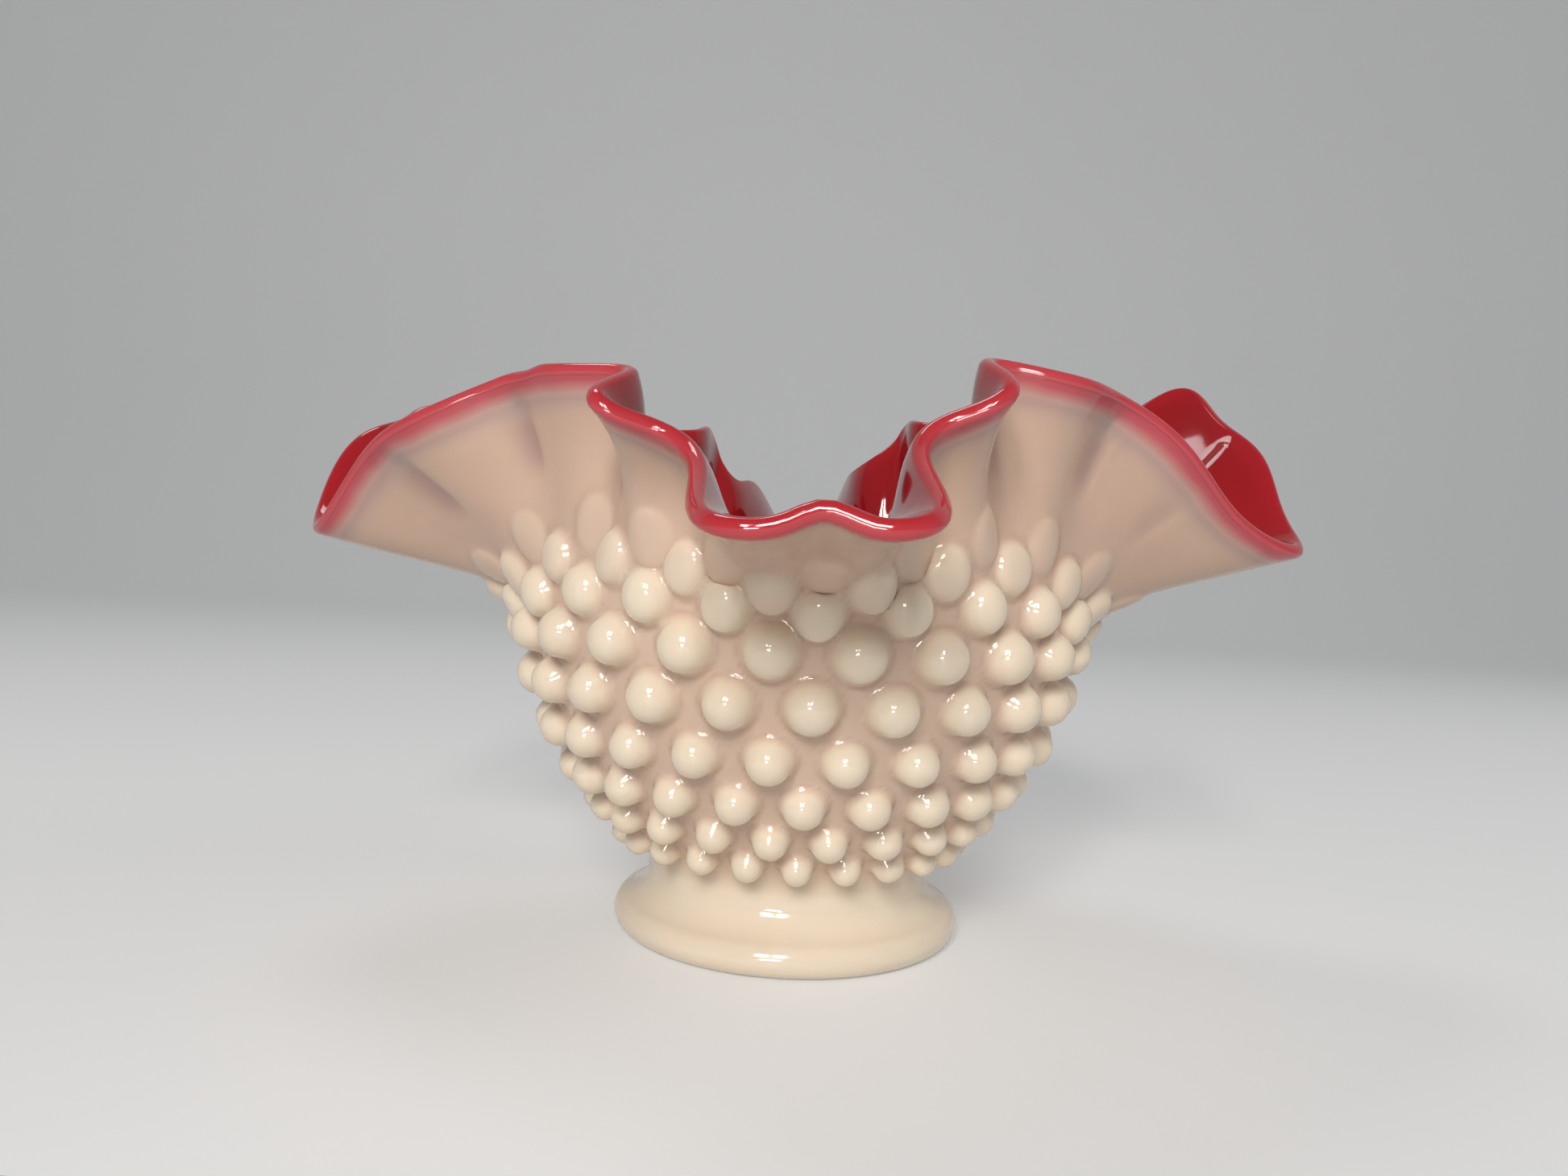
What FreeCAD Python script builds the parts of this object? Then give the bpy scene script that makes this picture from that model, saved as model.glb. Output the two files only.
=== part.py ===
import FreeCAD, Part
import math
import os

# A footed hobnail vase in cased glass, in millimetres.
# The frame stands on the table: Z up, origin at the centre of the foot's ground ring,
# -Y is the front, where the rim dips lowest towards the viewer, and +X is its right.
#
# Two gathers of glass, fused face to face, make the vase:
#   milk_glass_body  the outer gather: foot, bowl, hobnails and the outside of the ruffled skirt
#   ruby_lining      the inner gather: a thin skin from the bowl's floor up to the rolled lip

# ---- foot -------------------------------------------------------------------------------------
foot_radius = 28.6            # widest point of the foot's rounded edge
foot_edge_height = 4.8        # the rounded edge runs from the table up to here
foot_edge_inset = 1.0         # how far the edge has turned back in at its top
ground_ring_inner = 24.2      # the flat ring that touches the table starts here
foot_recess_depth = 2.4       # hollow under the foot, inside the ground ring
foot_recess_flat_radius = 19.0
neck_radius = 23.2            # waist between foot and bowl
neck_height = 8.8
foot_slope_sag = 0.5          # how far the foot's top sags below a straight slope up to the waist
neck_hollow = 0.7             # how far the side is drawn in between the waist and the bowl

# ---- bowl -------------------------------------------------------------------------------------
bowl_base_radius = 26.2       # where the bowl's side leaves the waist
bowl_base_height = 16.0
bowl_belly_height = 33.8
bowl_belly_bow = 3.434        # how far the belly stands out past a straight side, base to shoulder
shoulder_radius = 44.3        # where the ruffled skirt begins
shoulder_height = 50.4
bowl_floor_height = 14.0      # inside floor, on the ruby
bowl_floor_radius = 15.0
floor_bend_top = 21.0         # height on the outside where the inner wall turns towards the floor
floor_bend_bow = 1.8          # how far that turn bows out from a straight slope

# ---- wall thicknesses -------------------------------------------------------------------------
milk_wall = 2.0               # outer gather in the bowl
ruby_wall = 1.0               # inner gather in the bowl
lip_wall = 2.5                # both together at the lip
milk_wall_at_lip = 0.6        # the outer gather thins to this where the ruby rolls over it
half_wall = (milk_wall + ruby_wall) / 2
half_lip = lip_wall / 2

# ---- hobnails ---------------------------------------------------------------------------------
hobs_per_row = 24
hob_root = 1.0                # how far a hob's root is buried in the bowl's wall
skirt_hob_root = 0.6          # the same in the skirt, whose milk glass is thinner
hob_taper = 0.86              # tip radius over root radius
cone_meets_tip = 0.25         # height over the tip's centre where its cone ends, over the tip radius
# one row of the bowl each: height on the wall, root diameter, how far it stands out
bowl_hob_rows = [
    (16.8, 5.1, 3.1),
    (21.6, 5.7, 3.3),
    (27.3, 6.5, 3.6),
    (34.0, 6.8, 3.8),
    (41.5, 7.4, 4.0),
    (48.8, 7.6, 4.0),
]
# rows that were drawn out with the skirt: way up the skirt (0 shoulder, 1 lip), diameter, standout
skirt_hob_rows = [
    (0.14, 7.2, 3.2),
    (0.29, 7.4, 2.4),
]
first_row_turn = 3.0          # degrees from the front to the nearest hob of the lowest row

# ---- ruffled skirt ----------------------------------------------------------------------------
skirt_reach = 37.0            # from the shoulder out to the lowest, widest swells
skirt_rise = 36.0             # from the shoulder up to the front crests
shoulder_run = 5.5            # how far the wall keeps the bowl's lean before it turns
skirt_stations = 240          # points around the skirt
pole_passes = 60              # rounds in which a ring's control points settle
fold_softening = 4            # how often the lip's points are averaged with their neighbours
crimp_gain = 1.1              # how much deeper the softened crimps are drawn again
crimp_span = 6                # points averaged over to see the four waves without their crimps
crimp_depth_below_lip = 0.55  # share of the crimp that is still there a third of the way down
dip_rise = 0.36               # share of skirt_rise up to which the lip counts as hanging in a dip
steepest_lift = 1.4           # the crests are drawn up no further than this, 1 at skirt_rise
hang_out = 18.5               # in the dips the wall comes up to the lip from this far inside it
hang_out_loss = 13.0          # and this much less where the skirt is drawn up
hang_down = 6.0               # in the dips the wall comes up to the lip from this far below it
hang_down_gain = 4.5          # and this much more where the skirt is drawn up

# The lip is pinched in twenty times by the crimping tongs, five pinches to each of four big waves.
# One line for each pinch and the swell after it, anticlockwise seen from above, from the front:
# turn in degrees, reach (share of skirt_reach), rise (share of skirt_rise) of the pinch,
# then the same three of the swell.
crimps = [
    (1.0, 0.90, 0.37, 8.7, 0.97, 0.375),
    (17.0, 0.34, 0.765, 22.5, 0.48, 0.82),
    (32.0, 0.05, 1.04, 41.5, 0.28, 0.975),
    (54.5, 0.26, 0.97, 61.0, 0.41, 0.87),
    (73.0, 0.68, 0.54, 81.5, 0.97, 0.445),
    (89.5, 0.97, 0.62, 94.5, 0.95, 0.92),
    (100.0, 0.88, 1.045, 108.5, 0.88, 1.29),
    (117.0, 0.35, 0.95, 134.0, 0.30, 1.06),
    (147.0, 0.00, 1.07, 157.5, 0.36, 1.11),
    (163.0, 0.18, 0.90, 171.5, 0.62, 0.80),
    (180.0, 0.94, 0.35, 190.5, 0.63, 0.76),
    (200.0, 0.20, 0.76, 202.5, 0.38, 1.02),
    (215.0, 0.00, 0.96, 228.0, 0.30, 1.00),
    (241.0, 0.38, 0.96, 252.5, 0.99, 0.97),
    (256.5, 0.94, 0.88, 261.0, 0.97, 0.84),
    (270.5, 1.03, 0.48, 277.0, 0.97, 0.325),
    (286.0, 0.745, 0.60, 298.0, 0.52, 0.785),
    (306.0, 0.22, 0.95, 317.5, 0.22, 0.94),
    (327.0, 0.06, 0.95, 335.0, 0.50, 0.75),
    (341.0, 0.34, 0.70, 354.4, 0.95, 0.35),
]
# two crimps that the tongs left uneven: turn, how far the lip is raised there, half its width
lip_bumps = [
    (1.5, 1.9, 3.6),
    (308.5, -0.5, 1.8),
]


def vector(x, y, z):
    return FreeCAD.Vector(x, y, z)


def around(turn, radius, height):
    """The point at a turn in degrees from the front, towards +X."""
    angle = math.radians(turn)
    return vector(radius * math.sin(angle), -radius * math.cos(angle), height)


def in_section(radius, height):
    """A point of the half section that is spun about Z."""
    return vector(radius, 0, height)


def arc(first, middle, last):
    return Part.Arc(first, middle, last)


def line(first, last):
    return Part.LineSegment(first, last)


# ---- the bowl's side, one arc that the hobs, both walls and the lining share ---------------------
side_base = in_section(bowl_base_radius, bowl_base_height)
belly_share = (bowl_belly_height - bowl_base_height) / (shoulder_height - bowl_base_height)
straight_side = bowl_base_radius + (shoulder_radius - bowl_base_radius) * belly_share
side_belly = in_section(straight_side + bowl_belly_bow, bowl_belly_height)
side_shoulder = in_section(shoulder_radius, shoulder_height)
side_circle = arc(side_base, side_belly, side_shoulder).toShape().Curve
side_centre = side_circle.Center
side_radius = side_circle.Radius


def side_point(height, inset=0.0):
    """The bowl's side at a height, moved into the wall by inset along its normal."""
    rise = height - side_centre.z
    out = math.sqrt(side_radius ** 2 - rise ** 2)
    share = (side_radius - inset) / side_radius
    return in_section(side_centre.x + out * share, side_centre.z + rise * share)


def side_normal(height):
    return (side_point(height) - side_centre).normalize()


def side_arc(inset, lowest):
    """The side's arc at an inset, from the height lowest on the outside up to the shoulder."""
    middle = (lowest + shoulder_height) / 2
    return arc(side_point(lowest, inset), side_point(middle, inset), side_point(shoulder_height, inset))


def foot_and_bowl_outline():
    """The outside, from the axis under the foot up to the shoulder."""
    edge_sum = foot_edge_inset + foot_edge_height
    edge_round = edge_sum - math.sqrt(2 * foot_edge_inset * foot_edge_height)
    ring_outer = in_section(foot_radius - edge_round, 0)
    edge_top = in_section(foot_radius - foot_edge_inset, foot_edge_height)
    under = in_section(ground_ring_inner, 0)
    recess = in_section(foot_recess_flat_radius, foot_recess_depth)
    waist = in_section(neck_radius, neck_height)
    slope = (edge_top + waist) * 0.5 - vector(foot_slope_sag, 0, foot_slope_sag)
    hollow = (waist + side_base) * 0.5 - vector(neck_hollow, 0, -neck_hollow)
    return [
        line(in_section(0, foot_recess_depth), recess),
        line(recess, under),
        line(under, ring_outer),
        arc(ring_outer, in_section(foot_radius, edge_round), edge_top),
        arc(edge_top, slope, waist),
        arc(waist, hollow, side_base),
        side_arc(0, bowl_base_height),
    ]


def inside_outline(inset, floor):
    """An inner face of the bowl, from the shoulder down the wall to the floor and the axis."""
    bend_top = side_point(floor_bend_top, inset)
    bend_end = in_section(bowl_floor_radius, floor)
    slope = (bend_top - bend_end).normalize()
    bow = vector(slope.z, 0, -slope.x) * floor_bend_bow
    return [
        side_arc(inset, floor_bend_top),
        arc(bend_top, (bend_top + bend_end) * 0.5 + bow, bend_end),
        line(bend_end, in_section(0, floor)),
    ]


def spin(outline):
    """The faces that an outline sweeps out around Z, in quarters."""
    faces = []
    for piece in outline:
        for quarter in range(4):
            swept = piece.toShape()
            swept.rotate(vector(0, 0, 0), vector(0, 0, 1), 90 * quarter - 90)
            faces.extend(swept.revolve(vector(0, 0, 0), vector(0, 0, 1), 90).Faces)
    return faces


# ---- the skirt: cubic runs from the shoulder to the lip, on four rings of points -----------------
def smoothed(ring, span):
    """Each point of a closed ring averaged with the two that are span points away."""
    count = len(ring)
    return [(ring[i - span] + ring[i] * 2 + ring[(i + span) % count]) * 0.25 for i in range(count)]


def without_crimps(ring):
    return smoothed(smoothed(ring, crimp_span), crimp_span)


def bump_rise(point):
    """How far the uneven crimps raise the lip at a point."""
    rise = 0.0
    for bump_turn, height, half_width in lip_bumps:
        turn = math.degrees(math.atan2(point.x, -point.y)) - bump_turn
        away = math.hypot(point.x, point.y) * math.radians((turn + 180) % 360 - 180)
        rise += height * math.exp(-(away / half_width) ** 2)
    return rise


def lip_ring():
    """Evenly spaced points along the lip, its folds rounded as soft glass rounds them."""
    points = []
    for pinch_turn, pinch_reach, pinch_rise, swell_turn, swell_reach, swell_rise in crimps:
        for turn, reach, rise in ((pinch_turn, pinch_reach, pinch_rise), (swell_turn, swell_reach, swell_rise)):
            radius = shoulder_radius - milk_wall + reach * skirt_reach
            points.append(around(turn, radius, shoulder_height + rise * skirt_rise))
    line_of_lip = Part.BSplineCurve()
    line_of_lip.interpolate(Points=points, PeriodicFlag=True)
    ring = line_of_lip.discretize(Number=skirt_stations + 1)[:skirt_stations]
    for _ in range(fold_softening):
        ring = smoothed(ring, 1)
    waves = without_crimps(ring)
    lip = [waves[i] + (ring[i] - waves[i]) * crimp_gain for i in range(skirt_stations)]
    return [point + vector(0, 0, bump_rise(point)) for point in lip]


def skirt_rings():
    """Four rings of control points of the middle of the skirt's wall."""
    lip = lip_ring()
    waves = without_crimps(lip)
    normal = side_normal(shoulder_height)
    start = side_point(shoulder_height, half_wall)
    rings = [[], [], [], lip]
    for i in range(skirt_stations):
        turn = 360.0 * i / skirt_stations
        wave = waves[i]
        wave_radius = math.hypot(wave.x, wave.y)
        outward = vector(wave.x / wave_radius, wave.y / wave_radius, 0)
        above_dips = max((wave.z - shoulder_height) / skirt_rise - dip_rise, 0.0)
        lift = min(above_dips / (1 - dip_rise), steepest_lift)
        run = shoulder_run * (1 + lift)
        rings[0].append(around(turn, start.x, start.z))
        rings[1].append(around(turn, start.x - run * normal.z, start.z + run * normal.x))
        in_by = hang_out - hang_out_loss * lift
        down_by = hang_down + hang_down_gain * lift
        hung = wave - outward * in_by - vector(0, 0, down_by)
        rings[2].append(hung + (lip[i] - wave) * crimp_depth_below_lip)
    return rings


def poles_through(ring):
    """Control points of the closed cubic spline that passes through the ring's points."""
    poles = list(ring)
    count = len(ring)
    for _ in range(pole_passes):
        poles = [(ring[i] * 6 - poles[i - 1] - poles[(i + 1) % count]) * 0.25 for i in range(count)]
    return poles


def ring_surface(rings):
    """A closed surface over the rings: a spline around, one Bezier run from the first to the last."""
    columns = list(zip(*[poles_through(ring) for ring in rings]))
    columns = columns[-1:] + columns[:-1]
    count = len(columns)
    degree = len(rings) - 1
    surface = Part.BSplineSurface()
    surface.buildFromPolesMultsKnots(
        columns, [1] * (count + 1), [degree + 1] * 2, list(range(count + 1)), [0.0, 1.0],
        True, False, 3, degree)
    return surface


def offset_ring(middle, way, outward):
    """The ring at one way up the skirt, moved off the middle of the wall."""
    return [middle.value(i, way) + middle.normal(i, way) * outward for i in range(skirt_stations)]


def run_through(levels):
    """Bezier rings of the run that passes through four rings, evenly spaced from shoulder to lip."""
    low, first, second, high = levels
    count = range(len(low))
    after_low = [(first[i] * 18 - low[i] * 5 - second[i] * 9 + high[i] * 2) * (1 / 6) for i in count]
    before_high = [(second[i] * 18 - high[i] * 5 - first[i] * 9 + low[i] * 2) * (1 / 6) for i in count]
    return [low, after_low, before_high, high]


def offset_levels(middle, at_shoulder, at_lip):
    """Four rings off the middle of the wall, by a distance that changes evenly up the skirt."""
    levels = []
    for step in range(4):
        way = step / 3
        levels.append(offset_ring(middle, way, at_shoulder * (1 - way) + at_lip * way))
    return levels


def in_quarters(surface):
    """The faces of a closed ring surface, cut where the spun faces are cut."""
    cuts = [skirt_stations * quarter / 4 for quarter in range(5)]
    return [surface.toShape(cuts[i], cuts[i + 1], 0.0, 1.0) for i in range(4)]


half_round = 4 / 3            # reach of the control points of a half round, over its radius


def roll_rings(middle, outer, seam, inner):
    """The lip's rolled edge, a half round from the milk glass over to the inner face."""
    outer_push = []
    inner_push = []
    for i in range(skirt_stations):
        climb = middle.getDN(i, 1.0, 0, 1)
        push = climb.normalize() * (half_lip * half_round)
        outer_push.append(outer[i] + push)
        inner_push.append(inner[i] + push)
    return [seam, outer_push, inner_push, inner]


def milk_body_faces(outer, seam, edge):
    faces = spin(foot_and_bowl_outline())
    faces += spin(inside_outline(milk_wall, bowl_floor_height - ruby_wall))
    return faces + in_quarters(outer) + in_quarters(seam) + in_quarters(edge)


def lining_faces(seam, roll, inner):
    faces = spin(inside_outline(milk_wall, bowl_floor_height - ruby_wall))
    faces += spin(inside_outline(milk_wall + ruby_wall, bowl_floor_height))
    return faces + in_quarters(seam) + in_quarters(roll) + in_quarters(inner)


def closed_solid(faces):
    skin = Part.Compound(faces)
    skin.sewShape()
    solid = Part.Solid(skin.Shells[0])
    if solid.Volume < 0:
        solid.reverse()
    return solid


def hob(root, normal, diameter, standout, buried):
    """A blunt cone with a half-round tip, its root buried in the milk glass."""
    root_radius = diameter / 2
    tip_radius = root_radius * hob_taper
    tip_centre = standout - tip_radius
    cone_top = tip_centre + tip_radius * cone_meets_tip
    cone_top_radius = tip_radius * math.sqrt(1 - cone_meets_tip ** 2)
    cone = Part.makeCone(root_radius, cone_top_radius, cone_top + buried, vector(0, 0, -buried))
    tip = Part.makeSphere(tip_radius, vector(0, 0, tip_centre), vector(0, 0, 1), 0, 90, 360)
    solid = cone.fuse(tip)
    solid.Placement = FreeCAD.Placement(root, FreeCAD.Rotation(vector(0, 0, 1), normal))
    return solid


def row_turns(row):
    """Neighbouring rows are set half a pitch apart."""
    pitch = 360.0 / hobs_per_row
    start = first_row_turn + (row % 2) * pitch / 2
    return [start + pitch * i for i in range(hobs_per_row)]


def all_hobs(outer):
    hobs = []
    for row, (height, diameter, standout) in enumerate(bowl_hob_rows):
        point = side_point(height)
        normal = side_normal(height)
        for turn in row_turns(row):
            root = around(turn, point.x, point.z)
            hobs.append(hob(root, around(turn, normal.x, normal.z), diameter, standout, hob_root))
    for row, (way, diameter, standout) in enumerate(skirt_hob_rows, len(bowl_hob_rows)):
        for turn in row_turns(row):
            place = skirt_stations * turn / 360.0
            root = outer.value(place, way)
            hobs.append(hob(root, outer.normal(place, way), diameter, standout, skirt_hob_root))
    return hobs


middle_skirt = ring_surface(skirt_rings())
outer_levels = offset_levels(middle_skirt, half_wall, half_lip)
seam_levels = offset_levels(middle_skirt, half_wall - milk_wall, half_lip - milk_wall_at_lip)
inner_levels = offset_levels(middle_skirt, -half_wall, -half_lip)
outer_skirt = ring_surface(run_through(outer_levels))
seam_skirt = ring_surface(run_through(seam_levels))
inner_skirt = ring_surface(run_through(inner_levels))
lip_edge = ring_surface([outer_levels[3], seam_levels[3]])
lip_roll = ring_surface(roll_rings(middle_skirt, outer_levels[3], seam_levels[3], inner_levels[3]))

milk = closed_solid(milk_body_faces(outer_skirt, seam_skirt, lip_edge))
milk_glass_body = milk.fuse(all_hobs(outer_skirt))
ruby_lining = closed_solid(lining_faces(seam_skirt, lip_roll, inner_skirt))

os.makedirs("parts", exist_ok=True)
milk_glass_body.exportStep("parts/milk_glass_body.step")
ruby_lining.exportStep("parts/ruby_lining.step")
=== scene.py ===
import math

import bpy
import numpy as np
from mathutils import Matrix, Vector


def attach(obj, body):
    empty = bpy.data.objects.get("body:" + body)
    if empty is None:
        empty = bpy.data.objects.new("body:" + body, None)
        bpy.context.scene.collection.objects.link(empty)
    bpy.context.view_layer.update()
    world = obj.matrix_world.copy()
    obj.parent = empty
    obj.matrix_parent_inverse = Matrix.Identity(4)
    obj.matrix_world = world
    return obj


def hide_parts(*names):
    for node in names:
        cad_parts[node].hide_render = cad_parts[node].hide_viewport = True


# A footed hobnail vase in cased glass: milk glass outside, ruby inside, its rim pinched and pulled
# into a deep ruffle. Sizes are in millimetres, in the CAD frame, and turn into metres when a mesh is made.
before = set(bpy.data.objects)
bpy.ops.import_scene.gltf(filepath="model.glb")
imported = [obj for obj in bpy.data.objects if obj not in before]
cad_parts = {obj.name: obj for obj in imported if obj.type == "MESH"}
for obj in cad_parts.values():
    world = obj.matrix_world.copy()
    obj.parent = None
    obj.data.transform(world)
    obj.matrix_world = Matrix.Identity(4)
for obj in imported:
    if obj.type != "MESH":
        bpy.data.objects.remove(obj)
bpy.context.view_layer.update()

MM = 0.001

# ---- foot and bowl ------------------------------------------------------------------------------
foot_radius = 28.6
foot_edge_height = 4.8
foot_edge_inset = 1.0
ground_ring_inner = 24.2
foot_recess_depth = 2.4
foot_recess_flat_radius = 19.0
neck_radius = 23.2
neck_height = 8.8
foot_slope_sag = 0.5
neck_hollow = 0.7
bowl_base = (26.2, 16.0)
bowl_belly = (39.0, 33.8)
bowl_shoulder = (44.3, 50.4)
bowl_floor_height = 14.0
bowl_floor_radius = 15.0
floor_bend_top = 21.0
floor_bend_bow = 1.8

# ---- walls --------------------------------------------------------------------------------------
milk_wall = 2.0
ruby_wall = 1.0
lip_wall = 2.36
milk_wall_at_lip = 0.6
half_wall = (milk_wall + ruby_wall) / 2
half_lip = lip_wall / 2
roll_length = math.pi * half_lip          # along the lip's roll, from the milk glass over to the inside
half_round = 4 / 3            # reach of the control points of a half round, over its radius
thick_below, thin_from = 10.0, 18.0       # heights between which the foot's thick glass thins to the bowl
bowl_thickness = 0.27         # how opal the bowl's wall is, from 0 at the lip to 1 in the foot and the hobs
skirt_thinning = 1.5          # power by which the skirt gets less opal towards the lip
between_gathers = 0.02        # hairline between the two meshes, so that neither shows through the other

# ---- hobnails -----------------------------------------------------------------------------------
hobs_per_row = 24
first_row_turn = 3.0
# height on the bowl, root diameter, how far the hob stands out
bowl_hob_rows = [
    (16.8, 5.1, 3.1),
    (21.6, 5.7, 3.3),
    (27.3, 6.5, 3.6),
    (34.0, 6.8, 3.8),
    (41.5, 7.4, 4.0),
    (48.8, 7.6, 4.0),
]
# way up the skirt, root diameter, standout, how much the flaring drew the hob out
skirt_hob_rows = [
    (0.14, 7.1, 3.2, 1.05),
    (0.28, 6.9, 2.2, 1.15),
    (0.40, 6.8, 0.9, 1.25),
]

# ---- ruffled skirt ------------------------------------------------------------------------------
skirt_reach = 37.0
skirt_rise = 36.0
shoulder_run = 5.5
skirt_stations = 240
fold_softening = 4
crimp_gain = 1.1
crimp_span = 6
crimp_depth_below_lip = 0.55
dip_rise = 0.36               # the lip hangs in a dip up to this share of skirt_rise
steepest_lift = 1.4
hang_out, hang_out_loss = 18.5, 13.0      # how far inside the lip the wall comes up to it
hang_down, hang_down_gain = 6.0, 4.5      # how far below the lip
front_tuck = 5.5              # how much further the wall runs up from the shoulder under the front dip
front_tuck_turn = 26.0        # half the tuck's width, in degrees

# One line for each pinch of the crimping tongs and the swell after it, anticlockwise from the front:
# turn in degrees, reach and rise of the pinch, then of the swell.
crimps = [
    (1.0, 0.90, 0.37, 8.7, 0.97, 0.375),
    (17.0, 0.34, 0.765, 22.5, 0.48, 0.82),
    (32.0, 0.05, 1.04, 41.5, 0.28, 0.975),
    (54.5, 0.26, 0.97, 61.0, 0.41, 0.87),
    (73.0, 0.68, 0.54, 81.5, 0.97, 0.445),
    (89.5, 0.97, 0.62, 94.5, 0.95, 0.92),
    (100.0, 0.88, 1.045, 108.5, 0.88, 1.29),
    (117.0, 0.35, 0.95, 134.0, 0.30, 1.06),
    (147.0, 0.00, 1.07, 157.5, 0.36, 1.11),
    (163.0, 0.18, 0.90, 171.5, 0.62, 0.80),
    (180.0, 0.94, 0.35, 190.5, 0.63, 0.76),
    (200.0, 0.20, 0.76, 202.5, 0.38, 1.02),
    (215.0, 0.00, 0.96, 228.0, 0.30, 1.00),
    (241.0, 0.38, 0.96, 252.5, 0.99, 0.97),
    (256.5, 0.94, 0.88, 261.0, 0.97, 0.84),
    (270.5, 1.03, 0.48, 277.0, 0.97, 0.325),
    (286.0, 0.745, 0.60, 298.0, 0.52, 0.785),
    (306.0, 0.22, 0.95, 317.5, 0.22, 0.94),
    (327.0, 0.06, 0.95, 335.0, 0.50, 0.75),
    (341.0, 0.34, 0.70, 354.4, 0.95, 0.35),
]
# two crimps that the tongs left uneven: turn, how far the lip is raised there, half its width
lip_bumps = [
    (1.5, 1.9, 3.6),
    (308.5, -0.5, 1.8),
]
# creases that the tongs left below the lip, each soft on its first side and sharp on the other:
# station of the skirt, depth
creases = [
    (36.2, 0.55), (43.5, 0.25), (64.5, 0.7), (79.0, 0.5), (103.0, 0.4), (149.0, 0.4), (158.5, 0.5),
    (196.3, 0.55), (205.3, 0.55),
]
crease_soft, crease_sharp = 2.0, 0.45         # half widths, in stations
crease_from, crease_full = 0.56, 0.74         # ways up the skirt between which they deepen
crease_fade = 0.06                            # share of the way up, just below the lip, in which they end

# ---- how finely the glass is drawn --------------------------------------------------------------
columns = 480                 # vertical lines of glass around the vase, two for each station
bowl_side_steps = 84
hob_rows_below_bowl = 8       # rows of the foot, below the bowl, that a hob may still rise from
hob_rows_on_skirt = 60        # rows of the skirt that a hob may rise from
skirt_fine_to = 0.52          # way up the skirt that the drawn-out hobs reach
skirt_plain_to = 0.975        # way up the skirt where the last rows before the lip begin
skirt_fine_steps, skirt_plain_steps = 42, 22
last_skirt_ways = [0.99, 0.9985, 1]
seam_steps = 7                # the milk glass's face against the ruby, never seen
hidden_wall_steps, hidden_bend_steps = 4, 3
hidden_skirt_steps = 8
roll_steps = 16
first_roll_way = 0.008        # a row just past the milk glass's edge, so that the roll starts crisp
inner_lip_from = 0.9
inner_lip_steps, inner_skirt_steps = 10, 58
inner_wall_steps, inner_bend_steps = 34, 12
far_below_lip = 100.0         # stands for no lip near, in the mark below_lip

# ---- colours of the glass -----------------------------------------------------------------------
# each pair is the two ends of the glass's faint mottling
thin_opal = ((0.61, 0.41, 0.31), (0.66, 0.455, 0.35))         # ruby shows through it
thick_opal = ((0.84, 0.715, 0.565), (0.88, 0.76, 0.61))
deep_ruby = ((0.33, 0.006, 0.010), (0.40, 0.010, 0.014))
# painted shade: the colour that the milk glass is darkened towards along the creases below the lip, where
# shade falls
crease_shade = (0.36, 0.19, 0.19)
rolled_red = (0.56, 0.075, 0.095)         # where the milk glass and the ruby meet at the lip
milk_blush_length = 6.5                   # how far below the lip the milk glass is flushed with ruby
ruby_pale_length = 5                      # how far inside the lip the ruby is paler


# ---- turned outlines ----------------------------------------------------------------------------
def circle_through(first, middle, last):
    """Centre and radius of the circle through three points of a section."""
    (ax, ay), (bx, by), (cx, cy) = first, middle, last
    spread = 2 * (ax * (by - cy) + bx * (cy - ay) + cx * (ay - by))
    a, b, c = ax * ax + ay * ay, bx * bx + by * by, cx * cx + cy * cy
    centre = np.array([
        (a * (by - cy) + b * (cy - ay) + c * (ay - by)) / spread,
        (a * (cx - bx) + b * (ax - cx) + c * (bx - ax)) / spread])
    return centre, math.dist(centre, first)


def arc_run(first, middle, last, steps):
    """Points along the arc through three points, from the first to just before the last."""
    centre, radius = circle_through(first, middle, last)
    start, way, end = [math.atan2(p[1] - centre[1], p[0] - centre[0]) for p in (first, middle, last)]
    sweep = (end - start) % (2 * math.pi)
    if (way - start) % (2 * math.pi) > sweep:
        sweep -= 2 * math.pi
    angles = start + sweep * np.arange(steps) / steps
    return centre + radius * np.column_stack([np.cos(angles), np.sin(angles)])


def straight_run(first, last, steps):
    share = (np.arange(steps) / steps)[:, None]
    return np.array(first) * (1 - share) + np.array(last) * share


side_centre, side_radius = circle_through(bowl_base, bowl_belly, bowl_shoulder)


def side_point(height, inset=0.0):
    """The bowl's side at a height, moved into the wall by inset along its normal."""
    rise = height - side_centre[1]
    out = math.sqrt(side_radius ** 2 - rise ** 2)
    return side_centre + np.array([out, rise]) * (side_radius - inset) / side_radius


def side_normal(height):
    return (side_point(height) - side_centre) / side_radius


def side_run(inset, lowest, steps):
    shoulder = bowl_shoulder[1]
    middle = (lowest + shoulder) / 2
    return arc_run(side_point(lowest, inset), side_point(middle, inset), side_point(shoulder, inset), steps)


def foot_run():
    """Half section of the foot, from the middle of its underside to the bowl's base."""
    edge_sum = foot_edge_inset + foot_edge_height
    edge_round = edge_sum - math.sqrt(2 * foot_edge_inset * foot_edge_height)
    recess = (foot_recess_flat_radius, foot_recess_depth)
    ring_inner = (ground_ring_inner, 0.0)
    ring_outer = (foot_radius - edge_round, 0.0)
    edge_top = (foot_radius - foot_edge_inset, foot_edge_height)
    waist = (neck_radius, neck_height)
    slope = ((edge_top[0] + waist[0]) / 2 - foot_slope_sag, (edge_top[1] + waist[1]) / 2 - foot_slope_sag)
    hollow = ((waist[0] + bowl_base[0]) / 2 - neck_hollow, (waist[1] + bowl_base[1]) / 2 + neck_hollow)
    return np.vstack([
        straight_run((0.0, foot_recess_depth), recess, 3),
        straight_run(recess, ring_inner, 2),
        straight_run(ring_inner, ring_outer, 2),
        arc_run(ring_outer, (foot_radius, edge_round), edge_top, 9),
        arc_run(edge_top, slope, waist, 7),
        arc_run(waist, hollow, bowl_base, 15)])


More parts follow.
